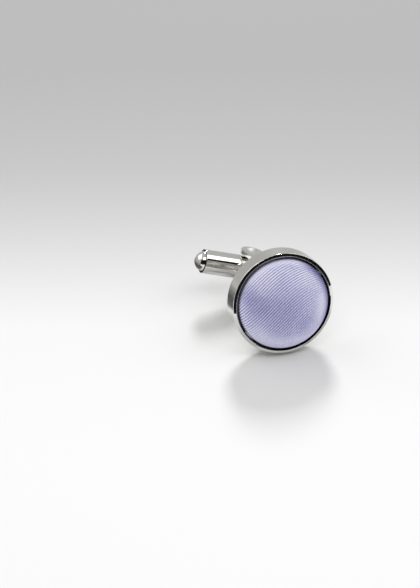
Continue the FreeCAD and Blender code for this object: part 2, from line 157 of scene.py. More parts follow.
def dot(tree, vector, way):
    made = add_node(tree, "ShaderNodeVectorMath", {"operation": "DOT_PRODUCT"})
    feed(tree, vector, made.inputs[0])
    made.inputs[1].default_value = tuple(way)
    return made.outputs["Value"]


def separated(tree, vector):
    made = add_node(tree, "ShaderNodeSeparateXYZ")
    feed(tree, vector, made.inputs[0])
    return made.outputs["X"], made.outputs["Y"], made.outputs["Z"]


def off_axis(tree, first, second):
    squares = calc(tree, "ADD", product(tree, first, first), product(tree, second, second))
    return calc(tree, "SQRT", squares)


def reach_towards(tree, across, up, way):
    return calc(tree, "MULTIPLY_ADD", across, way[0], product(tree, up, way[1]))


def noise(tree, vector, scale, detail=2.0, roughness=0.5):
    made = add_node(tree, "ShaderNodeTexNoise")
    feed(tree, vector, made.inputs["Vector"])
    feed(tree, scale, made.inputs["Scale"])
    made.inputs["Detail"].default_value = detail
    made.inputs["Roughness"].default_value = roughness
    return made.outputs["Fac"]


def colour(red, green, blue):
    return (red, green, blue, 1.0)


def add_inputs(tree, wanted):
    for label, kind, value in wanted:
        socket = tree.interface.new_socket(name=label, in_out="INPUT", socket_type=kind)
        if value is not None:
            socket.default_value = value


def new_group(name, wanted, given):
    """A shader group with numbers as inputs, or a vector where no value is given, and numbers as outputs."""
    group = bpy.data.node_groups.new(name, "ShaderNodeTree")
    kinds = {label: VECTOR if value is None else NUMBER for label, value in wanted.items()}
    add_inputs(group, [(label, kinds[label], value) for label, value in wanted.items()])
    for label in given:
        group.interface.new_socket(name=label, in_out="OUTPUT", socket_type=NUMBER)
    start = group.nodes.new("NodeGroupInput")
    end = group.nodes.new("NodeGroupOutput")
    return group, start.outputs, end.inputs


def use_group(tree, group, values):
    made = add_node(tree, "ShaderNodeGroup")
    made.node_tree = group
    for name, value in values.items():
        feed(tree, value, made.inputs[name])
    return made.outputs


# Shared effects of the finishes


def make_brush_lines():
    group, wanted, given = new_group("brush_lines", {"Place": None, "Depth": 1.0}, ["Height", "Tone"])
    fine = noise(group, wanted["Place"], 1.0, detail=3.0, roughness=0.6)
    broad = noise(group, wanted["Place"], 0.21)
    broad_share = 0.35
    lines = mixed_value(group, broad_share, fine, broad)
    feed(group, product(group, lines, wanted["Depth"]), given["Height"])
    feed(group, ramped(group, lines, 0.3, 0.7), given["Tone"])
    return group


def make_polish_marks():
    inputs = {"Place": None, "Spacing": 0.4 * MM}
    group, wanted, given = new_group("polish_marks", inputs, ["Height", "Mark"])
    scale = calc(group, "DIVIDE", 1.0, wanted["Spacing"])
    sweep_scale = product(group, scale, 0.18)
    wear_scale = product(group, scale, 0.4)
    sweep = noise(group, wanted["Place"], sweep_scale, detail=1.0)
    shifted = add_node(group, "ShaderNodeVectorMath", {"operation": "SCALE"})
    feed(group, wanted["Place"], shifted.inputs[0])
    feed(group, calc(group, "ADD", sweep, 0.6), shifted.inputs["Scale"])
    hairs = add_node(group, "ShaderNodeTexVoronoi", {"feature": "DISTANCE_TO_EDGE"})
    feed(group, shifted.outputs["Vector"], hairs.inputs["Vector"])
    feed(group, scale, hairs.inputs["Scale"])
    mark = ramped(group, hairs.outputs["Distance"], 0.0, 0.025, 1.0, 0.0)
    worn = ramped(group, noise(group, wanted["Place"], wear_scale), 0.5, 0.66)
    shown = product(group, mark, worn)
    feed(group, shown, given["Mark"])
    feed(group, product(group, shown, -1.0), given["Height"])
    return group


def make_handling_film():
    inputs = {"Place": None, "Patch": 4.0 * MM, "Clean": 0.06, "Filmed": 0.12}
    group, wanted, given = new_group("handling_film", inputs, ["Roughness", "Film"])
    scale = calc(group, "DIVIDE", 1.0, wanted["Patch"])
    patches = noise(group, wanted["Place"], scale, detail=4.0, roughness=0.55)
    film = ramped(group, patches, 0.38, 0.68)
    feed(group, film, given["Film"])
    feed(group, mixed_value(group, film, wanted["Clean"], wanted["Filmed"]), given["Roughness"])
    return group


def make_turning_rings():
    inputs = {"Distance": 0.0, "Feed": 0.05 * MM}
    group, wanted, given = new_group("turning_rings", inputs, ["Height", "Tone"])
    turns = calc(group, "DIVIDE", wanted["Distance"], wanted["Feed"])
    wave = calc(group, "SINE", product(group, turns, FULL_TURN))
    uneven = add_node(group, "ShaderNodeTexNoise", {"noise_dimensions": "1D"})
    feed(group, product(group, turns, 0.7), uneven.inputs["W"])
    tone = product(group, calc(group, "MULTIPLY_ADD", wave, 0.5, 0.5), uneven.outputs["Fac"])
    feed(group, tone, given["Height"])
    feed(group, tone, given["Tone"])
    return group


def make_edge_wear():
    inputs = {"Place": None, "From Edge": 0.0, "Width": 0.2 * MM}
    group, wanted, given = new_group("edge_wear", inputs, ["Worn"])
    near = calc(group, "DIVIDE", calc(group, "ABSOLUTE", wanted["From Edge"]), wanted["Width"])
    ragged = noise(group, wanted["Place"], 2600.0, detail=3.0, roughness=0.6)
    reach = calc(group, "ADD", near, calc(group, "MULTIPLY_ADD", ragged, 1.2, -0.6))
    feed(group, ramped(group, reach, 0.3, 1.0, 1.0, 0.0), given["Worn"])
    return group


brush_lines = make_brush_lines()
polish_marks = make_polish_marks()
handling_film = make_handling_film()
turning_rings = make_turning_rings()
edge_wear = make_edge_wear()


# Materials

METAL = {"Metallic": 1.0}


def new_material(name, plain=None):
    """A material whose shader has plain values on its own sockets, where any are given."""
    material = bpy.data.materials.new(name)
    material.use_nodes = True
    tree = material.node_tree
    tree.nodes.clear()
    shader = add_node(tree, "ShaderNodeBsdfPrincipled", values=plain)
    output = add_node(tree, "ShaderNodeOutputMaterial")
    feed(tree, shader.outputs["BSDF"], output.inputs["Surface"])
    return material, tree, shader.inputs


def object_place(tree):
    return add_node(tree, "ShaderNodeTexCoord").outputs["Object"]


def bumped(tree, height, depth):
    made = add_node(tree, "ShaderNodeBump", values={"Strength": 1.0, "Distance": depth * MM})
    feed(tree, height, made.inputs["Height"])
    return made.outputs["Normal"]


def filmed(tree, place, patch, rough):
    clean, smeared = rough
    values = {"Place": place, "Patch": patch * MM, "Clean": clean, "Filmed": smeared}
    return use_group(tree, handling_film, values)


# Where the cup's finishes begin and end, in millimetres from its axis or along it
WALL_REACH = (CUP_RADIUS - 0.06, CUP_RADIUS - 0.02)
WALL_FRONT = (LIP_FRONT + 0.30, LIP_FRONT + 0.36)
LIP_INSIDE = (LIP_FRONT + 1.0, LIP_FRONT + 1.4)
CUP_BACK = (-0.06, -0.02)
BACK_EDGE = -0.1
CREST_REACH = (8.04, 8.14)
# Where the painted shade inside the lip begins, in millimetres from the axis, and how softly it sets in
RECESS_RADIUS = 7.96
RECESS_SOFTNESS = (-0.03, 0.03)
# A way goes across and up from the middle, and its spread is how nearly a place lies that way to take part
# On the upper left the painted shade inside the lip is paler, a painted reflection of the cloth: how far the
# shade reaches there, and the way to that side
PALER_RECESS_RADIUS = 7.86
PALER_RECESS_WAY = (-0.9, 0.44)
PALER_RECESS_SPREAD = (0.35, 0.85)
# A line inside the crest of the lip at the upper right is rough and painted grey, a painted reflection, and
# the painted shade inside the lip reaches further there
DULL_RADIUS = 7.93
DULL_HALF = (0.04, 0.08)
DULL_RECESS_RADIUS = 8.06
DULL_WAY = (0.49, 0.87)
DULL_SPREAD = (0.8, 0.95)
# Ways to the lower sides, where the lip's crest is painted darker as painted shade, and its share there
DEEP_CREST_WAYS = [((0.906, -0.423), 1.0), ((-0.669, -0.743), 0.55)]
DEEP_CREST_SPREAD = (0.86, 0.95)
# Colours and roughness of the cup's finishes
LIP_TONE = colour(0.80, 0.79, 0.77)
WALL_TONES = (colour(0.70, 0.69, 0.655), colour(0.80, 0.79, 0.755))
WORN_TONE = colour(0.84, 0.83, 0.80)
CUP_BACK_TONE = colour(0.52, 0.505, 0.48)
# Colour of the painted shade on the crest at the lower sides
CREST_PAINTED_SHADE = colour(0.46, 0.455, 0.435)
# Colour of the painted shade inside the lip and in the gap behind it
RECESS_PAINTED_SHADE = colour(0.025, 0.024, 0.026)
# Colour of the painted reflection of the cloth in the recess on the upper left
RECESS_PAINTED_REFLECTION = colour(0.42, 0.38, 0.41)
# Grey of the dull line, a painted reflection
DULL_LINE_PAINTED_REFLECTION = colour(0.6, 0.58, 0.58)
LIP_ROUGH = (0.025, 0.05)
WALL_ROUGH = (0.12, 0.18)
CUP_BACK_ROUGH = 0.28
DULL_ROUGH = 0.55
CUP_MARK_ROUGH = 0.05
# The wall's brush lines to the metre each way, their relief in millimetres, and shares of it elsewhere
WALL_LINES = (450.0, 26000.0, 450.0)
BRUSH_DEPTH = 0.004
LIP_RELIEF = 0.3
BACK_RELIEF = 0.05


def make_cup_plating():
    material, tree, shader = new_material("cup_plating", METAL)
    place = object_place(tree)
    x, y, z = separated(tree, place)
    radius = off_axis(tree, x, z)
    safe_radius = calc(tree, "MAXIMUM", radius, MM)

    def facing(way, spread, most=1.0):
        share = calc(tree, "DIVIDE", reach_towards(tree, x, z, way), safe_radius)
        return ramped(tree, share, *spread, 0.0, most)

    behind_lip = ramped_mm(tree, y, WALL_FRONT)
    on_wall = product(tree, ramped_mm(tree, radius, WALL_REACH), behind_lip)
    on_back = ramped_mm(tree, y, CUP_BACK)
    before_wall = calc(tree, "SUBTRACT", 1.0, behind_lip)
    on_crest = product(tree, ramped_mm(tree, radius, CREST_REACH), before_wall)
    # The inside of the lip and the gap behind it are painted near black, a painted shade that frames the
    # cloth
    near_lip = ramped_mm(tree, y, LIP_INSIDE, 1.0, 0.0)
    # On the upper left the recess's painted shade is paler, a painted reflection of the cloth
    paler_recess = facing(PALER_RECESS_WAY, PALER_RECESS_SPREAD)
    # The dull line at the upper right is a painted reflection, and the recess's painted shade reaches further
    # out there
    dull_side = facing(DULL_WAY, DULL_SPREAD)
    from_line = calc(tree, "ABSOLUTE", calc(tree, "SUBTRACT", radius, DULL_RADIUS * MM))
    dull = product(tree, ramped_mm(tree, from_line, DULL_HALF, 1.0, 0.0), near_lip, dull_side)
    recess_edge = mixed_value(tree, paler_recess, RECESS_RADIUS * MM, PALER_RECESS_RADIUS * MM)
    recess_edge = mixed_value(tree, dull_side, recess_edge, DULL_RECESS_RADIUS * MM)
    past_edge = calc(tree, "SUBTRACT", radius, recess_edge)
    painted_recess_shade = product(tree, ramped_mm(tree, past_edge, RECESS_SOFTNESS, 1.0, 0.0), near_lip)
    # The wall is brushed round the cup, the lip is polished and the back is turned
    lines = use_group(tree, brush_lines, {"Place": stretched(tree, place, WALL_LINES)})
    rings = use_group(tree, turning_rings, {"Distance": radius, "Feed": 0.07 * MM})
    film = filmed(tree, place, 3.0, LIP_ROUGH)
    marks = use_group(tree, polish_marks, {"Place": place, "Spacing": 1.1 * MM})
    from_edge = calc(tree, "SUBTRACT", y, BACK_EDGE * MM)
    worn = use_group(tree, edge_wear, {"Place": place, "From Edge": from_edge, "Width": 0.25 * MM})
    rough_layers = [
        (on_wall, mixed_value(tree, lines["Tone"], *WALL_ROUGH)),
        (on_back, CUP_BACK_ROUGH),
        (dull, DULL_ROUGH),
    ]
    rough = layered(tree, mixed_value, film["Roughness"], rough_layers)
    feed(tree, calc(tree, "MULTIPLY_ADD", marks["Mark"], CUP_MARK_ROUGH, rough), shader["Roughness"])
    tone_layers = [
        (on_wall, mixed_colour(tree, lines["Tone"], *WALL_TONES)),
        (worn["Worn"], WORN_TONE),
        (on_back, CUP_BACK_TONE),
    ]
    # Painted shade on the lip's crest at the lower sides
    for way, most in DEEP_CREST_WAYS:
        painted_crest_shade = product(tree, on_crest, facing(way, DEEP_CREST_SPREAD, most))
        tone_layers.append((painted_crest_shade, CREST_PAINTED_SHADE))
    # Painted shade in the recess, paler on the upper left as a painted reflection of the cloth
    tone_layers.append((painted_recess_shade, mixed_colour(tree, paler_recess, RECESS_PAINTED_SHADE, RECESS_PAINTED_REFLECTION)))
    tone_layers.append((dull, DULL_LINE_PAINTED_REFLECTION))
    feed(tree, layered(tree, mixed_colour, LIP_TONE, tone_layers), shader["Base Color"])
    relief_layers = [
        (on_wall, lines["Height"]),
        (on_back, product(tree, rings["Height"], BACK_RELIEF)),
    ]
    relief = layered(tree, mixed_value, product(tree, marks["Height"], LIP_RELIEF), relief_layers)
    feed(tree, bumped(tree, relief, BRUSH_DEPTH), shader["Normal"])
    return material


# Colours of the bright wear along a seam and of the dark seam itself
SEAM_WORN_TONE = colour(0.86, 0.84, 0.80)
SEAM_TONE = colour(0.2, 0.19, 0.17)
# Under a film of handling, polished metal is a little darker
FILM_SHADE = 0.965
MARK_ROUGH = 0.06
MARK_DEPTH = 0.0001


def make_polished_plating(name, rough, tone, seam=None):
    """Polished metal, with a dark seam at a distance to either side of the middle if one is given."""
    material, tree, shader = new_material(name, METAL)
    place = object_place(tree)
    film = filmed(tree, place, 2.2, rough)
    marks = use_group(tree, polish_marks, {"Place": place, "Spacing": 0.9 * MM})
    marked = calc(tree, "MULTIPLY_ADD", marks["Mark"], MARK_ROUGH, film["Roughness"])
    feed(tree, marked, shader["Roughness"])
    shaded = [FILM_SHADE * part for part in tone]
    base = mixed_colour(tree, film["Film"], colour(*tone), colour(*shaded))
    if seam is not None:
        along, _, _ = separated(tree, place)
        from_edge = calc(tree, "SUBTRACT", calc(tree, "ABSOLUTE", along), seam * MM)
        worn = use_group(tree, edge_wear, {"Place": place, "From Edge": from_edge, "Width": 0.18 * MM})
        from_seam = calc(tree, "ABSOLUTE", from_edge)
        in_seam = ramped_mm(tree, from_seam, (0.5 * SEAM_HALF, SEAM_HALF), 1.0, 0.0)
        base = layered(tree, mixed_colour, base, [(worn["Worn"], SEAM_WORN_TONE), (in_seam, SEAM_TONE)])
    feed(tree, base, shader["Base Color"])
    feed(tree, bumped(tree, marks["Height"], MARK_DEPTH), shader["Normal"])
    return material


def make_turned_metal(name, tones, rough, about_pin):
    """Turned metal, with rings about the pivot pin's axis or along the bullet."""
    material, tree, shader = new_material(name, METAL)
    place = object_place(tree)
    x, y, _ = separated(tree, place)
    distance = x
    if about_pin:
        distance = off_axis(tree, x, calc(tree, "SUBTRACT", y, PIVOT_BACK * MM))
    rings = use_group(tree, turning_rings, {"Distance": distance, "Feed": 0.06 * MM})
    film = filmed(tree, place, 1.5, rough)
    feed(tree, film["Roughness"], shader["Roughness"])
    shade = mixed_value(tree, 0.5, rings["Tone"], film["Film"])
    feed(tree, mixed_colour(tree, shade, *tones), shader["Base Color"])
    feed(tree, bumped(tree, rings["Height"], 0.001), shader["Normal"])
    return material


def make_drawn_metal(name, tones, rough, across):
    """Pressed sheet or drawn wire, with fine lines as many to the metre each way as given."""
    material, tree, shader = new_material(name, METAL)
    place = object_place(tree)
    lines = use_group(tree, brush_lines, {"Place": stretched(tree, place, across)})
    film = filmed(tree, place, 2.5, rough)
    feed(tree, film["Roughness"], shader["Roughness"])
    feed(tree, mixed_colour(tree, lines["Tone"], *tones), shader["Base Color"])
    feed(tree, bumped(tree, lines["Height"], 0.003), shader["Normal"])
    return material


def make_hardened_glue():
    material, tree, shader = new_material("hardened_glue")
    place = object_place(tree)
    clouds = noise(tree, place, 900.0, detail=3.0, roughness=0.6)
    bubbles = add_node(tree, "ShaderNodeTexVoronoi", {"feature": "SMOOTH_F1"}, {"Scale": 3200.0})
    feed(tree, place, bubbles.inputs["Vector"])
    spot = ramped(tree, bubbles.outputs["Distance"], 0.1, 0.28, 1.0, 0.0)
    tone = mixed_colour(tree, clouds, colour(0.76, 0.71, 0.57), colour(0.86, 0.83, 0.72))
    feed(tree, mixed_colour(tree, spot, tone, colour(0.9, 0.88, 0.8)), shader["Base Color"])
    feed(tree, mixed_value(tree, clouds, 0.22, 0.42), shader["Roughness"])
    feed(tree, bumped(tree, spot, 0.02), shader["Normal"])
    return material


# How the cloth's look changes over the button, in millimetres measured over its face from the middle
# Spots of painted shade on the cloth: place across and up, narrowing, where each begins and ends, and its
# tone
PAINTED_SHADE_SPOTS = [
    (-0.85, -0.95, 0.75, 0.6, 6.7, 0.595),
    (-5.2, -0.75, 1.0, 0.9, 2.8, 0.80),
    (4.8, -2.75, 0.85, 0.8, 3.0, 0.81),
    (-7.2, 0.95, 1.0, 0.4, 2.7, 0.75),
    (-1.6, 4.2, 1.0, 0.3, 2.0, 0.92),
]
# Spots of painted highlight on the ribs: place across and up, where each begins and ends, and its share
PAINTED_SHEEN_SPOTS = [
    (-5.0, 3.2, 0.6, 3.2, 0.3),
    (2.2, 5.6, 0.6, 2.8, 0.3),
]
# Blue holds out longer than red and green where painted shade deepens the cloth
BLUE_HOLD = 0.6
# A fade holds where it begins and ends, and the value before and after it
# Ribs stand out less towards the right, the lower right and the top, and in one spot on the left
RIB_FADE = (-4.5, 5.5, 1.6, 0.85)
CALM_WAY = (0.6, -0.8)
CALM_FADE = (1.2, 4.6, 1.0, 0.7)
TOP_FADE = (3.2, 5.6, 1.0, 0.85)
CALM_SPOT = (-5.7, 0.0)
CALM_SPOT_FADE = (0.8, 3.0, 0.48, 1.0)
# Ribs also stand out more or less from patch to patch and from yarn to yarn
PATCH_FADE = (0.3, 0.6, 0.7, 1.1)
YARN_FADE = (0.38, 0.62, 0.4, 1.4)
# The turn into the cup's gap and the upper right edge are darkened as painted shade, and the right side is
# painted pale as a painted sheen
PAINTED_GAP_SHADE = (7.95, 8.45, 1.0, 0.22)
PAINTED_CORNER_SHADE = (6.2, 7.9, 1.0, 0.16)
CORNER_WAY = (0.87, 0.5)
CORNER_SPREAD = (0.5, 0.92)
PAINTED_PALE_SHEEN = (3.6, 6.0, 0.0, 0.35)
# Towards the lower right edge the ribs are pulled flat, and at the upper left edge they are slack; both edges
# are also painted lighter as painted light
FLAT_WAY = (0.6, -0.8)
FLAT_SPREAD = (-0.05, 0.4)
FLAT_REACH = (4.6, 6.2)
SLACK_WAY = (-0.5, 0.87)
SLACK_SPREAD = (0.5, 0.95)
SLACK_REACH = (6.9, 7.7)
FLAT_STRENGTH = 0.2
# Lengths along a rib of one uneven stretch of yarn and of one float
YARN_LENGTH = 0.55
FLOAT_LENGTH = 0.5
FLOAT_LEAN = 1.5
# How fine the fuzz, the patches and the drift of the colour are, to the metre
FUZZ_SCALE = 5500.0
PATCH_SCALE = 330.0
DRIFT_SCALE = 260.0
THREAD_SCALE = (7000.0, 500.0, 500.0)
DRIFT_FADE = (0.35, 0.68, 0.0, 0.2)
# How light the cloth is on the whole, and how much its yarn, fuzz, floats and single threads change that
LIGHT_SHARE = 0.545
YARN_WEIGHT = 0.35
FUZZ_WEIGHT = 0.7
FLOAT_WEIGHT = 0.5
THREAD_WEIGHT = 0.8
# Colours of the satin
SATIN_DEEP = colour(0.175, 0.17, 0.39)
SATIN_LIGHT = colour(0.79, 0.785, 1.0)
SATIN_DRIFT = colour(0.40, 0.40, 0.62)
# Colour of the painted highlights on the ribs
SATIN_PAINTED_SHEEN = colour(0.96, 0.95, 1.0)
# Colour of the painted pale sheen on the right side
SATIN_PAINTED_PALE_SHEEN = colour(0.70, 0.66, 0.78)
# Colours and shares of the painted light on the pulled and the slack edges
SATIN_PULLED_PAINTED_LIGHT = colour(0.775, 0.785, 0.945)
SATIN_SLACK_PAINTED_LIGHT = colour(0.78, 0.77, 0.92)
PULLED_PAINTED_LIGHT_SHARE = 0.55
SLACK_PAINTED_LIGHT_SHARE = 0.4
SATIN_GLOSS = {
    "Sheen Weight": 0.15,
    "Sheen Roughness": 0.4,
    "Sheen Tint": colour(0.93, 0.9, 1.0),
    "Specular IOR Level": 0.7,
    "IOR": 1.6,
}
RIDGE_EDGE = (0.03, 0.6)
RIDGE_ROUGH = (0.6, 0.4)
LEAST_ARC = 0.01
# Relief of the weave in millimetres, and the fuzz's share of it
WEAVE_DEPTH = 0.008
FUZZ_HEIGHT = 0.4


def make_twill_satin():
    material, tree, shader = new_material("lavender_twill_satin", SATIN_GLOSS)
    turn = add_node(tree, "ShaderNodeAttribute", {"attribute_name": "rib_turn"}).outputs["Fac"]
    along = add_node(tree, "ShaderNodeAttribute", {"attribute_name": "rib_along"}).outputs["Fac"]
    flat = add_node(tree, "ShaderNodeAttribute", {"attribute_name": "flat_place"}).outputs["Vector"]
    across, rise, _ = separated(tree, flat)
    arc = calc(tree, "MAXIMUM", off_axis(tree, across, rise), LEAST_ARC)
    place = object_place(tree)

    def facing(way, spread):
        share = calc(tree, "DIVIDE", reach_towards(tree, across, rise, way), arc)
        return ramped(tree, share, *spread)

    def from_spot(spot_across, spot_rise, narrowing=1.0):
        from_across = product(tree, calc(tree, "SUBTRACT", across, spot_across), narrowing)
        return off_axis(tree, from_across, calc(tree, "SUBTRACT", rise, spot_rise))

    wave = calc(tree, "COSINE", product(tree, turn, FULL_TURN))
    ridge = ramped(tree, calc(tree, "MULTIPLY_ADD", wave, 0.5, 0.5), *RIDGE_EDGE)
    # Each rib is a row of short floats that lean over the rib, and its yarn is a little uneven
    float_turn = calc(tree, "DIVIDE", along, FLOAT_LENGTH * MM)
    float_turn = calc(tree, "MULTIPLY_ADD", turn, FLOAT_LEAN, float_turn)
    floats = calc(tree, "SINE", product(tree, float_turn, FULL_TURN))
    float_height = calc(tree, "MULTIPLY_ADD", floats, 0.5, 0.5)
    yarn_place = add_node(tree, "ShaderNodeCombineXYZ")
    feed(tree, turn, yarn_place.inputs["X"])
    feed(tree, calc(tree, "DIVIDE", along, YARN_LENGTH * MM), yarn_place.inputs["Y"])
    yarn = noise(tree, yarn_place.outputs["Vector"], 1.0, roughness=0.6)
    fuzz = noise(tree, place, FUZZ_SCALE, detail=3.0, roughness=0.6)
    drift = noise(tree, place, DRIFT_SCALE, detail=3.0)
    patches = noise(tree, place, PATCH_SCALE, detail=1.0)
    threads = noise(tree, stretched(tree, place, THREAD_SCALE), 1.0)
    pulled = product(tree, ramped(tree, arc, *FLAT_REACH), facing(FLAT_WAY, FLAT_SPREAD))
    slack = product(tree, ramped(tree, arc, *SLACK_REACH), facing(SLACK_WAY, SLACK_SPREAD))
    strength = product(
        tree,
        mixed_value(tree, calc(tree, "MAXIMUM", pulled, slack), 1.0, FLAT_STRENGTH),
        ramped(tree, patches, *PATCH_FADE),
        ramped(tree, across, *RIB_FADE),
        ramped(tree, reach_towards(tree, across, rise, CALM_WAY), *CALM_FADE),
        ramped(tree, rise, *TOP_FADE),
        ramped(tree, from_spot(*CALM_SPOT), *CALM_SPOT_FADE),
        ramped(tree, yarn, *YARN_FADE),
    )
    light = LIGHT_SHARE
    parts = [
        (ridge, strength),
        (yarn, YARN_WEIGHT),
        (fuzz, FUZZ_WEIGHT),
        (float_height, FLOAT_WEIGHT),
        (threads, product(tree, pulled, THREAD_WEIGHT)),
    ]
    for part, weight in parts:
        light = calc(tree, "MULTIPLY_ADD", calc(tree, "SUBTRACT", part, 0.5), weight, light)
    # The tone goes from deep to light and drifts a little; in places there are painted highlights on the
    # ribs, painted pale sheen on the right and painted light at the edges
    in_corner = facing(CORNER_WAY, CORNER_SPREAD)
    corner = mixed_value(tree, in_corner, 1.0, ramped(tree, arc, *PAINTED_CORNER_SHADE))
    tone_layers = [(light, SATIN_LIGHT), (ramped(tree, drift, *DRIFT_FADE), SATIN_DRIFT)]
    for spot_across, spot_rise, inner, outer, most in PAINTED_SHEEN_SPOTS:
        shine = ramped(tree, from_spot(spot_across, spot_rise), inner, outer, most, 0.0)
        tone_layers.append((product(tree, shine, ridge), SATIN_PAINTED_SHEEN))
    tone_layers.append((product(tree, ramped(tree, across, *PAINTED_PALE_SHEEN), corner), SATIN_PAINTED_PALE_SHEEN))
    tone_layers.append((product(tree, pulled, PULLED_PAINTED_LIGHT_SHARE), SATIN_PULLED_PAINTED_LIGHT))
    tone_layers.append((product(tree, slack, SLACK_PAINTED_LIGHT_SHARE), SATIN_SLACK_PAINTED_LIGHT))
    tone = layered(tree, mixed_colour, SATIN_DEEP, tone_layers)
    # Painted shade: the spots and the upper right corner turn violet, and the turn into the gap is painted
    # dark
    depth = corner
    for spot_across, spot_rise, narrowing, inner, outer, deep in PAINTED_SHADE_SPOTS:
        from_shade_spot = from_spot(spot_across, spot_rise, narrowing)
        depth = product(tree, depth, ramped(tree, from_shade_spot, inner, outer, deep, 1.0))
    painted_shade_colour = add_node(tree, "ShaderNodeCombineColor")
    feed(tree, depth, painted_shade_colour.inputs["Red"])
    feed(tree, depth, painted_shade_colour.inputs["Green"])
    feed(tree, calc(tree, "POWER", depth, BLUE_HOLD), painted_shade_colour.inputs["Blue"])
    tone = mixed_colour(tree, 1.0, tone, painted_shade_colour.outputs["Color"], "MULTIPLY")
    tone = mixed_colour(tree, 1.0, tone, ramped(tree, arc, *PAINTED_GAP_SHADE), "MULTIPLY")
    feed(tree, tone, shader["Base Color"])
    feed(tree, mixed_value(tree, ridge, *RIDGE_ROUGH), shader["Roughness"])
    height = mixed_value(tree, FUZZ_HEIGHT, float_height, fuzz)
    feed(tree, bumped(tree, height, WEAVE_DEPTH), shader["Normal"])
    return material


cup_plating = make_cup_plating()
post_plating = make_polished_plating("post_plating", rough=(0.08, 0.12), tone=(0.79, 0.78, 0.755))
rivet_plating = make_polished_plating("rivet_plating", rough=(0.12, 0.2), tone=(0.76, 0.75, 0.735))
BULLET_TONE = (0.83, 0.82, 0.795)
bullet_plating = make_polished_plating("bullet_plating", (0.035, 0.07), BULLET_TONE, BARREL_HALF_LENGTH)
cap_plating = make_polished_plating("cap_plating", (0.04, 0.08), BULLET_TONE, BARREL_HALF_LENGTH)
pin_steel = make_turned_metal(
    "turned_pin_steel",
    tones=(colour(0.36, 0.36, 0.365), colour(0.46, 0.46, 0.465)),
    rough=(0.64, 0.76),
    about_pin=True,
)
plunger_brass = make_turned_metal(
    "turned_plunger_brass",
    tones=(colour(0.66, 0.47, 0.19), colour(0.84, 0.66, 0.34)),
    rough=(0.2, 0.32),
    about_pin=False,
)
shell_sheet = make_drawn_metal(
    "pressed_shell_sheet",
    tones=(colour(0.68, 0.68, 0.69), colour(0.80, 0.80, 0.81)),
    rough=(0.26, 0.38),
    across=(900.0, 9000.0, 900.0),
)
plate_sheet = make_drawn_metal(
    "pressed_back_plate",
    tones=(colour(0.64, 0.64, 0.65), colour(0.76, 0.76, 0.77)),
    rough=(0.28, 0.42),
    across=(600.0, 600.0, 9000.0),
)
spring_wire = make_drawn_metal(
    "drawn_spring_wire",
    tones=(colour(0.48, 0.48, 0.50), colour(0.66, 0.66, 0.68)),
    rough=(0.2, 0.34),
    across=(3000.0, 9000.0, 9000.0),
)
glue = make_hardened_glue()
twill_satin = make_twill_satin()

NODE_FINISH = {
    "bezel_cup": cup_plating,
    "satin_cover": twill_satin,
    "button_shell": shell_sheet,
    "button_back_plate": plate_sheet,
    "adhesive_ring": glue,
    "stirrup": post_plating,
    "base_rivet": rivet_plating,
    "pivot_pin": pin_steel,
    "toggle_barrel": bullet_plating,
    "end_cap_left": cap_plating,
    "end_cap_right": cap_plating,
    "plunger_left": plunger_brass,
    "plunger_right": plunger_brass,
    "spring_left": spring_wire,
    "spring_right": spring_wire,
}
for node_name, finish in NODE_FINISH.items():
    nodes[node_name].data.materials[0] = finish


# The satin cloth: a sheet stretched over the domed shell and turned in behind its rim

CLOTH_GRID = 264
INNER_STEPS = 14
ROUND_STEPS = 5
# Levels of the rings down the skirt, along the turn-in and inside the skirt, and the turn-in's rounding
SKIRT_LEVELS = (-2.6, -2.0)
TURN_IN_LEVEL = -2.2
INSIDE_LEVEL = -2.4
EDGE_ROUND = 0.06
# The arc over the dome ends where the shoulder begins, and the arc over the shoulder ends at the skirt
DOME_CENTRE = DOME_APEX + DOME_RADIUS
SHOULDER_ANGLE = math.asin(SHOULDER_REACH / (DOME_RADIUS - SHOULDER_ROUND))
DOME_ARC = DOME_RADIUS * SHOULDER_ANGLE
SHOULDER_ARC = SHOULDER_ROUND * (math.pi / 2 - SHOULDER_ANGLE)
FACE_ARC = DOME_ARC + SHOULDER_ARC

# How the ribs run over the cloth: rib turns per millimetre across and up, and how these change on the way
RIB_FIELD = {
    "Ribs Across": 1.985,
    "Ribs Up": -1.337,
    "Across Bend": -0.0172,
    "Twist": -0.0614,
    "Up Bend": -0.0421,
    "Across Curl": -0.0009,
    "Across Twist": -0.0066,
    "Up Twist": -0.0055,
    "Up Curl": -0.0035,
}
RIB_DEPTH = 0.06


def over_the_face(arc, sunk=0.0):
    """Reach and level for lengths measured over the face from its middle, or over what lies sunk under it."""
    dome_angle = np.minimum(arc, DOME_ARC) / DOME_RADIUS
    round_angle = SHOULDER_ANGLE + np.maximum(arc - DOME_ARC, 0.0) / SHOULDER_ROUND
    on_dome = arc <= DOME_ARC
    dome_size = DOME_RADIUS - sunk
    round_size = SHOULDER_ROUND - sunk
    reach = np.where(
        on_dome,
        dome_size * np.sin(dome_angle),
        SHOULDER_REACH + round_size * np.sin(round_angle),
    )
    level = np.where(
        on_dome,
        DOME_CENTRE - dome_size * np.cos(dome_angle),
        SHOULDER_LEVEL - round_size * np.cos(round_angle),
    )
    return reach, level


def round_of_square(grid):
    """Places of a square grid pressed into a round disc of radius 1."""
    steps = np.linspace(-1.0, 1.0, grid + 1)
    across, up = np.meshgrid(steps, steps, indexing="ij")
    wide = np.abs(across) > np.abs(up)
    safe_across = np.where(across == 0, 1.0, across)
    safe_up = np.where(up == 0, 1.0, up)
    size = np.where(wide, across, up)
    angle = np.where(
        wide,
        math.pi / 4 * up / safe_across,
        math.pi / 2 - math.pi / 4 * across / safe_up,
    )
    return size * np.cos(angle), size * np.sin(angle)


def quarter(centre_reach, centre_level, size, start):
    angles = np.linspace(start, start + math.pi / 2, ROUND_STEPS + 1)
    reach = centre_reach + size * np.cos(angles)
    level = centre_level + size * np.sin(angles)
    return list(zip(reach.tolist(), level.tolist()))


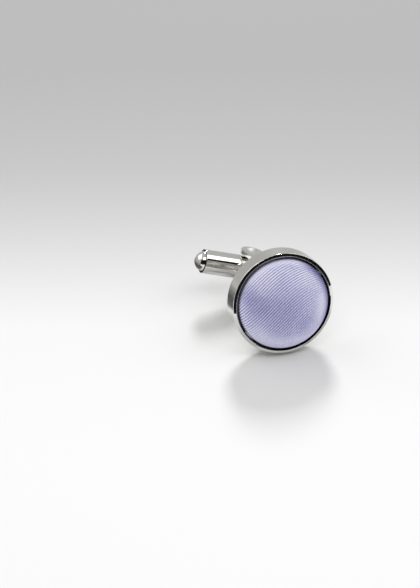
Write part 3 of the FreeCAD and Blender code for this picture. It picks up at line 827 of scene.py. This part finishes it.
def cloth_back_profile():
    """Reach and level from the skirt round the back edge, the turn-in and the inside to near the middle."""
    inner = BUTTON_RADIUS - CLOTH_THICKNESS
    back_centre = CLOTH_BACK - CLOTH_THICKNESS
    turn_outer = TURN_IN_REACH + CLOTH_THICKNESS
    edge_level = TURN_IN_TOP + EDGE_ROUND
    profile = [(BUTTON_RADIUS, level) for level in SKIRT_LEVELS]
    profile += quarter(inner, back_centre, CLOTH_THICKNESS, 0.0)
    profile += quarter(turn_outer, back_centre, CLOTH_THICKNESS, math.pi / 2)
    profile += [(TURN_IN_REACH, TURN_IN_LEVEL), (TURN_IN_REACH, edge_level)]
    profile += [(TURN_IN_REACH + EDGE_ROUND, TURN_IN_TOP), (turn_outer - EDGE_ROUND, TURN_IN_TOP)]
    profile += [(turn_outer, edge_level), (turn_outer, TURN_IN_LEVEL), (turn_outer, back_centre)]
    profile += [(inner, back_centre), (inner, INSIDE_LEVEL), (inner, SHOULDER_LEVEL)]
    inside_arc = np.linspace(FACE_ARC, 0.0, INNER_STEPS + 1)[1:-1]
    reach, level = over_the_face(inside_arc, CLOTH_THICKNESS)
    profile += list(zip(reach.tolist(), level.tolist()))
    return profile


def join_rings(faces, ring, fresh):
    """Faces from one ring of the cloth to the next, which has as many points or half as many."""
    halved = len(fresh) < len(ring)
    for place, corner in enumerate(fresh):
        following = fresh[(place + 1) % len(fresh)]
        if halved:
            first, middle = ring[2 * place], ring[2 * place + 1]
            last = ring[(2 * place + 2) % len(ring)]
            faces += [[first, corner, middle], [middle, corner, following], [middle, following, last]]
        else:
            faces.append([ring[place], corner, following, ring[(place + 1) % len(ring)]])


def store_on_points(mesh, name, kind, field, values):
    mesh.attributes.new(name, kind, "POINT").data.foreach_set(field, np.array(values).ravel())


def make_cloth_sheet():
    across, up = round_of_square(CLOTH_GRID)
    share = np.hypot(across, up)
    reach, level = over_the_face(share * FACE_ARC)
    safe_share = np.where(share == 0, 1.0, share)
    points = np.stack([across / safe_share * reach, level, up / safe_share * reach], axis=-1)
    points = points.reshape(-1, 3).tolist()
    flat = np.stack([across * FACE_ARC, up * FACE_ARC, np.zeros_like(across)], axis=-1)
    flat = flat.reshape(-1, 3).tolist()
    shown = [1.0] * len(points)
    index = np.arange((CLOTH_GRID + 1) ** 2).reshape(CLOTH_GRID + 1, CLOTH_GRID + 1)
    faces = np.stack([index[:-1, :-1], index[1:, :-1], index[1:, 1:], index[:-1, 1:]], axis=-1)
    faces = faces.reshape(-1, 4).tolist()
    border = np.concatenate([index[:-1, 0], index[-1, :-1], index[:0:-1, -1], index[0, :0:-1]])
    ring = border.tolist()
    for ring_reach, ring_level in cloth_back_profile():
        corners = ring[::2] if len(ring) > CLOTH_GRID else ring
        fresh = list(range(len(points), len(points) + len(corners)))
        for corner in corners:
            x, _, z = points[corner]
            size = math.hypot(x, z)
            points.append([x / size * ring_reach, ring_level, z / size * ring_reach])
            flat.append(list(flat[corner]))
            shown.append(0.0)
        join_rings(faces, ring, fresh)
        ring = fresh
    middle = len(points)
    points.append([0.0, DOME_APEX + CLOTH_THICKNESS, 0.0])
    flat.append([0.0, 0.0, 0.0])
    shown.append(0.0)
    for place, corner in enumerate(ring):
        faces.append([corner, middle, ring[(place + 1) % len(ring)]])
    mesh = bpy.data.meshes.new("satin_cloth")
    mesh.from_pydata((np.array(points) * MM).tolist(), [], faces)
    store_on_points(mesh, "flat_place", "FLOAT_VECTOR", "vector", flat)
    store_on_points(mesh, "shown", "FLOAT", "value", shown)
    mesh.polygons.foreach_set("use_smooth", [True] * len(mesh.polygons))
    mesh.update()
    cloth = bpy.data.objects.new("satin_cloth", mesh)
    bpy.context.scene.collection.objects.link(cloth)
    return cloth


def named_attribute(tree, name, kind):
    made = add_node(tree, "GeometryNodeInputNamedAttribute", {"data_type": kind}, {"Name": name})
    return made.outputs["Attribute"]


def kept_attribute(tree, geometry, name, value):
    settings = {"data_type": "FLOAT", "domain": "POINT"}
    made = add_node(tree, "GeometryNodeStoreNamedAttribute", settings, {"Name": name})
    feed(tree, geometry, made.inputs["Geometry"])
    feed(tree, value, made.inputs["Value"])
    return made.outputs["Geometry"]


def make_rib_tree():
    tree = bpy.data.node_groups.new("raise_twill_ribs", "GeometryNodeTree")
    wanted = [("Cloth", "NodeSocketGeometry", None)]
    wanted += [(label, NUMBER, value) for label, value in RIB_FIELD.items()]
    wanted += [("Rib Depth", NUMBER, RIB_DEPTH), ("Finish", "NodeSocketMaterial", None)]
    add_inputs(tree, wanted)
    tree.interface.new_socket(name="Cloth", in_out="OUTPUT", socket_type="NodeSocketGeometry")
    start = tree.nodes.new("NodeGroupInput").outputs
    end = tree.nodes.new("NodeGroupOutput").inputs
    shown = named_attribute(tree, "shown", "FLOAT")
    across, up, _ = separated(tree, named_attribute(tree, "flat_place", "FLOAT_VECTOR"))
    # Rib turns grow across and up the cloth, and bend a little on the way
    across_bend = calc(tree, "MULTIPLY_ADD", start["Across Curl"], across, start["Across Bend"])
    across_bend = calc(tree, "MULTIPLY_ADD", start["Across Twist"], up, across_bend)
    twist = calc(tree, "MULTIPLY_ADD", start["Up Twist"], up, start["Twist"])
    up_bend = calc(tree, "MULTIPLY_ADD", start["Up Curl"], up, start["Up Bend"])
    across_rate = calc(tree, "MULTIPLY_ADD", across_bend, across, start["Ribs Across"])
    across_rate = calc(tree, "MULTIPLY_ADD", twist, up, across_rate)
    up_rate = calc(tree, "MULTIPLY_ADD", up_bend, up, start["Ribs Up"])
    turn = calc(tree, "MULTIPLY_ADD", across, across_rate, product(tree, up, up_rate))
    # Lengths along the ribs, in metres
    rise_part = product(tree, up, start["Ribs Across"])
    along = calc(tree, "SUBTRACT", rise_part, product(tree, across, start["Ribs Up"]))
    rate = math.hypot(RIB_FIELD["Ribs Across"], RIB_FIELD["Ribs Up"])
    along = product(tree, along, MM / rate)
    # The hollows between the ribs are sunk into the cloth where it shows
    wave = calc(tree, "COSINE", product(tree, turn, FULL_TURN))
    hollow = calc(tree, "MULTIPLY_ADD", wave, -0.5, 0.5)
    sunk = product(tree, hollow, shown, start["Rib Depth"], -MM)
    inward = add_node(tree, "ShaderNodeVectorMath", {"operation": "SCALE"})
    feed(tree, add_node(tree, "GeometryNodeInputNormal").outputs["Normal"], inward.inputs[0])
    feed(tree, sunk, inward.inputs["Scale"])
    moved = add_node(tree, "GeometryNodeSetPosition")
    feed(tree, start["Cloth"], moved.inputs["Geometry"])
    feed(tree, inward.outputs["Vector"], moved.inputs["Offset"])
    carried = kept_attribute(tree, moved.outputs["Geometry"], "rib_turn", turn)
    carried = kept_attribute(tree, carried, "rib_along", along)
    whole = add_node(tree, "GeometryNodeRealizeInstances")
    feed(tree, carried, whole.inputs["Geometry"])
    dressed = add_node(tree, "GeometryNodeSetMaterial")
    feed(tree, whole.outputs["Geometry"], dressed.inputs["Geometry"])
    feed(tree, start["Finish"], dressed.inputs["Material"])
    feed(tree, dressed.outputs["Geometry"], end["Cloth"])
    return tree


def settled(piece, tree, chosen):
    """Runs a tree on a piece and keeps the result as its plain mesh."""
    modifier = piece.modifiers.new(tree.name, "NODES")
    modifier.node_group = tree
    for item in tree.interface.items_tree:
        if item.in_out == "INPUT" and item.name in chosen:
            modifier[item.identifier] = chosen[item.name]
    depsgraph = bpy.context.evaluated_depsgraph_get()
    made = bpy.data.meshes.new_from_object(piece.evaluated_get(depsgraph))
    piece.modifiers.remove(modifier)
    old = piece.data
    piece.data = made
    bpy.data.meshes.remove(old)
    made.name = piece.name
    return piece


satin_cloth = settled(make_cloth_sheet(), make_rib_tree(), {"Finish": twill_satin, "Rib Depth": RIB_DEPTH})
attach(satin_cloth, "face")
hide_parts("satin_cover")


# The camera

SENSOR_WIDTH = 36.0
camera_data = bpy.data.cameras.new("photo_camera")
camera_data.sensor_width = SENSOR_WIDTH
camera_data.lens = SENSOR_WIDTH * PIXELS_PER_MM / MM * CAMERA_DISTANCE / IMAGE_HEIGHT
camera_data.clip_start = 0.01
camera_data.clip_end = 50.0
camera = bpy.data.objects.new("photo_camera", camera_data)
bpy.context.scene.collection.objects.link(camera)
bpy.context.scene.camera = camera
right = CAMERA_RIGHT.normalized()
up = (CAMERA_UP - right * CAMERA_UP.dot(right)).normalized()
back = right.cross(up)
lip_middle = Vector((0.0, LIP_FRONT * MM, 0.0))
shift_right = (FACE_IN_IMAGE[0] - IMAGE_WIDTH / 2) / PIXELS_PER_MM * MM
shift_up = (IMAGE_HEIGHT / 2 - FACE_IN_IMAGE[1]) / PIXELS_PER_MM * MM
camera_spot = lip_middle + back * CAMERA_DISTANCE - right * shift_right - up * shift_up
camera_turn = Matrix((right, up, back)).transposed()
camera.matrix_world = Matrix.Translation(camera_spot) @ camera_turn.to_4x4()


# The stage: the floor lies under the cup's lower edge, tilted as the cufflink leans back in the photo

# How far the camera looks down on the floor, in degrees
CAMERA_RISE = 31.5
rise = math.radians(CAMERA_RISE)
floor_up = up * math.cos(rise) + back * math.sin(rise)
floor_near = back * math.cos(rise) - up * math.sin(rise)
# The floor's level under the part's origin in millimetres
FLOOR_LEVEL = -8.27
# The floor's half width, and how far out it begins and ends to fade, in metres
FLOOR_HALF = 0.30
FLOOR_LIT = 0.16
FLOOR_END = 0.25
# Distance over the floor towards the back in millimetres, and the floor's grey there, painted darker towards
# the back as painted shade
FLOOR_GREYS = [
    (-75.0, 0.765),
    (4.0, 0.715),
    (30.0, 0.52),
    (56.0, 0.39),
    (95.0, 0.32),
    (200.0, 0.295),
]


def stage_direction(azimuth, elevation):
    """A way out from the part: degrees round to the right from the camera's side, and above the floor."""
    turned = math.radians(azimuth)
    raised = math.radians(elevation)
    level = floor_near * math.cos(turned) + right * math.sin(turned)
    return level * math.cos(raised) + floor_up * math.sin(raised)


def make_stage_piece(name, points, faces, material):
    mesh = bpy.data.meshes.new(name)
    mesh.from_pydata(points, [], faces)
    mesh.materials.append(material)
    piece = bpy.data.objects.new(name, mesh)
    bpy.context.scene.collection.objects.link(piece)
    return piece


def make_floor_finish():
    matt = {"Roughness": 0.9, "Specular IOR Level": 0.0}
    material, tree, shader = new_material("white_sweep", matt)
    place = object_place(tree)
    # The floor's grey falls towards the back as painted shade
    first, last = FLOOR_GREYS[0][0], FLOOR_GREYS[-1][0]
    spot = add_node(tree, "ShaderNodeMapRange", values={"From Min": first * MM, "From Max": last * MM})
    feed(tree, dot(tree, place, -floor_near), spot.inputs["Value"])
    ramp = add_node(tree, "ShaderNodeValToRGB")
    ramp.color_ramp.interpolation = "B_SPLINE"
    stops = ramp.color_ramp.elements
    while len(stops) < len(FLOOR_GREYS):
        stops.new(0.5)
    for stop, (distance, grey) in zip(stops, FLOOR_GREYS):
        stop.position = (distance - first) / (last - first)
        stop.color = colour(grey, grey, grey)
    feed(tree, spot.outputs["Result"], ramp.inputs["Fac"])
    feed(tree, ramp.outputs["Color"], shader["Base Color"])
    # Far out the floor fades into the room, and from below it is not seen
    size = add_node(tree, "ShaderNodeVectorMath", {"operation": "LENGTH"})
    feed(tree, place, size.inputs[0])
    faded = ramped(tree, size.outputs["Value"], FLOOR_LIT, FLOOR_END)
    under = add_node(tree, "ShaderNodeNewGeometry").outputs["Backfacing"]
    clear = add_node(tree, "ShaderNodeBsdfTransparent")
    blend = add_node(tree, "ShaderNodeMixShader")
    output = next(node for node in tree.nodes if node.type == "OUTPUT_MATERIAL")
    feed(tree, calc(tree, "MAXIMUM", faded, under), blend.inputs[0])
    feed(tree, output.inputs["Surface"].links[0].from_socket, blend.inputs[1])
    feed(tree, clear.outputs["BSDF"], blend.inputs[2])
    feed(tree, blend.outputs["Shader"], output.inputs["Surface"])
    return material


def make_floor():
    level = floor_up * (FLOOR_LEVEL * MM)
    sides = [(-1, -1), (1, -1), (1, 1), (-1, 1)]
    corners = [level + (right * across - floor_near * away) * FLOOR_HALF for across, away in sides]
    make_stage_piece("floor", corners, [(0, 1, 2, 3)], make_floor_finish())


make_floor()


# The lamps, the cards and the room

LAMP_DISTANCE = 0.5
STAGE_MIDDLE = Vector((0.0, 0.004, 0.0))
# Degrees round from the camera's side and above the floor, width and height in metres, and watts
LAMPS = {
    "back_lamp": (180.0, 37.0, 0.09, 0.13, 1.86),
    "right_softbox": (82.0, 47.0, 0.38, 0.27, 0.45),
    "left_softbox": (-105.0, 42.0, 0.50, 0.34, 0.5),
    "overhead_softbox": (8.0, 62.0, 0.40, 0.22, 0.65),
}


def make_lamp(name, azimuth, elevation, width, height, power):
    lamp = bpy.data.lights.new(name, "AREA")
    lamp.shape = "RECTANGLE"
    lamp.size = width
    lamp.size_y = height
    lamp.energy = power
    box = bpy.data.objects.new(name, lamp)
    bpy.context.scene.collection.objects.link(box)
    out = stage_direction(azimuth, elevation)
    level = floor_up.cross(out).normalized()
    raised = out.cross(level)
    pose = Matrix((level, raised, out)).transposed().to_4x4()
    box.matrix_world = Matrix.Translation(STAGE_MIDDLE + out * LAMP_DISTANCE) @ pose


for lamp_name, lamp_values in LAMPS.items():
    make_lamp(lamp_name, *lamp_values)

# How far the cards' feet lie below the middle of the lip, just above the floor, in millimetres
CARD_FOOT = 8.8
# The front card, a black sheet of painted shade that stands in for the unlit front of the studio: its
# distance in metres, and its columns and rows
CARD_DISTANCE = 0.15
CARD_COLUMNS = 32
CARD_ROWS = 10
# Its left end, crest and right end in degrees round from the camera's side
CARD_LEFT = -56.0
CARD_CREST = 22.0
CARD_RIGHT = 93.0
# Its upper and lower edges in degrees above the floor, and how the upper edge rounds down at the right
CARD_TOP = 50.5
CARD_LEFT_DROP = 8.5
CARD_LOW = -11.0
CARD_LOW_RIGHT = -3.6
CARD_SQUARENESS = 5.0
CARD_FALL = 0.6
# The side card stands left of the toggle, for the neighbouring cufflink and the painted shade it casts on the
# table: its inner edge and place, its ends towards the camera, its height
SIDE_CARD_INNER = -17.0
SIDE_CARD_PLACE = -24.0
SIDE_CARD_ENDS = (-32.0, -4.0)
SIDE_CARD_HEIGHT = 7.2
# The low card lies on the floor behind the cup, from the side card to its inner edge, as painted shade on the
# table that only reflections show
LOW_CARD_INNER = -7.0
LOW_CARD_ENDS = (-32.0, -11.0)
# How coarse the felt's fluff is to the metre, and the shares of grey that it changes between
FLUFF_SCALE = 400.0
FLUFF_FADE = (0.3, 0.7, 0.8, 1.2)


def make_felt(name, low_grey, high_grey):
    """Felt whose grey changes from the foot of the side card to its top, painted shade that is darkest at the
    foot.
    """
    material, tree, shader = new_material(name, {"Roughness": 1.0, "Specular IOR Level": 0.0})
    place = object_place(tree)
    foot = lip_middle.dot(floor_up) - CARD_FOOT * MM
    top = foot + SIDE_CARD_HEIGHT * MM
    grey = ramped(tree, dot(tree, place, floor_up), foot, top, low_grey, high_grey)
    fluff = ramped(tree, noise(tree, place, FLUFF_SCALE), *FLUFF_FADE)
    feed(tree, product(tree, grey, fluff), shader["Base Color"])
    return material


def make_card(name, columns, finish):
    """A card that polished metal reflects, standing in for what stands round it in a studio; its grey is
    painted shade that only reflections show.
    """
    points = [point for column in columns for point in column]
    height = len(columns[0])
    faces = []
    for column in range(len(columns) - 1):
        for row in range(height - 1):
            corner = column * height + row
            faces.append((corner, corner + 1, corner + height + 1, corner + height))
    card = make_stage_piece(name, points, faces, finish)
    # Only reflections show it: the camera looks through it, and it holds back no light
    card.visible_camera = False
    card.visible_diffuse = False
    card.visible_shadow = False


def front_card_top(azimuth):
    """The front card's upper edge falls gently to the left and rounds down to the floor at the right."""
    if azimuth < CARD_CREST:
        return CARD_TOP - CARD_LEFT_DROP * ((CARD_CREST - azimuth) / (CARD_CREST - CARD_LEFT)) ** 2
    share = (azimuth - CARD_CREST) / (CARD_RIGHT - CARD_CREST)
    return CARD_TOP * max(1.0 - share ** CARD_SQUARENESS, 0.0) ** CARD_FALL


def front_card_low(azimuth):
    """The front card's lower edge is level on the left and rises to the right."""
    share = max((azimuth - CARD_CREST) / (CARD_RIGHT - CARD_CREST), 0.0)
    return CARD_LOW + (CARD_LOW_RIGHT - CARD_LOW) * share


def front_card_column(azimuth):
    """Places up the front card, which comes nearer where it would otherwise go through the floor."""
    column = []
    low = front_card_low(azimuth)
    top = max(front_card_top(azimuth), low)
    for row in range(CARD_ROWS + 1):
        elevation = low + (top - low) * row / CARD_ROWS
        distance = CARD_DISTANCE
        if elevation < 0.0:
            distance = min(distance, CARD_FOOT * MM / math.sin(math.radians(-elevation)))
        column.append(lip_middle + stage_direction(azimuth, elevation) * distance)
    return column


def card_place(across, towards_camera, height=0.0):
    """A place over the cards' feet, in millimetres across, towards the camera and up."""
    level = floor_up * (height - CARD_FOOT)
    return lip_middle + (right * across + floor_near * towards_camera + level) * MM


def side_card_column(end):
    """Places over the side card, from its inner edge on the floor to its foot and its top."""
    inner = card_place(SIDE_CARD_INNER, end)
    foot = card_place(SIDE_CARD_PLACE, end)
    top = card_place(SIDE_CARD_PLACE, end, SIDE_CARD_HEIGHT)
    return [inner, foot, top]


def low_card_column(end):
    """Places across the low card."""
    return [card_place(LOW_CARD_INNER, end), card_place(SIDE_CARD_INNER, end)]


front_card_azimuths = np.linspace(CARD_LEFT, CARD_RIGHT, CARD_COLUMNS + 1).tolist()
front_card = [front_card_column(azimuth) for azimuth in front_card_azimuths]
# The front card is painted shade for the unlit front of the studio
make_card("front_card", front_card, make_felt("black_felt_painted_shade", 0.007, 0.007))
side_card = [side_card_column(end) for end in SIDE_CARD_ENDS]
# The side card stands for the neighbouring cufflink, with painted shade darkest at its foot
make_card("side_card", side_card, make_felt("grey_felt_painted_shade", 0.09, 0.42))
low_card = [low_card_column(end) for end in LOW_CARD_ENDS]
# The low card is painted shade on the table, seen only in reflections
make_card("low_card", low_card, make_felt("pale_felt_painted_shade", 0.42, 0.42))

# How bright the room is where it is seen or mirrored, and as a fill on the object
ROOM_GREY = 0.50
ROOM_FILL = 0.52


def make_room():
    world = bpy.data.worlds.new("studio_room")
    bpy.context.scene.world = world
    world.use_nodes = True
    tree = world.node_tree
    tree.nodes.clear()
    path = add_node(tree, "ShaderNodeLightPath").outputs
    seen = calc(tree, "MAXIMUM", path["Is Camera Ray"], path["Is Glossy Ray"])
    seen = calc(tree, "MAXIMUM", seen, path["Is Transmission Ray"])
    shine = add_node(tree, "ShaderNodeBackground", values={"Color": colour(1.0, 1.0, 1.0)})
    feed(tree, mixed_value(tree, seen, ROOM_FILL, ROOM_GREY), shine.inputs["Strength"])
    output = add_node(tree, "ShaderNodeOutputWorld")
    feed(tree, shine.outputs["Background"], output.inputs["Surface"])


make_room()

bpy.context.scene.view_settings.view_transform = "Standard"
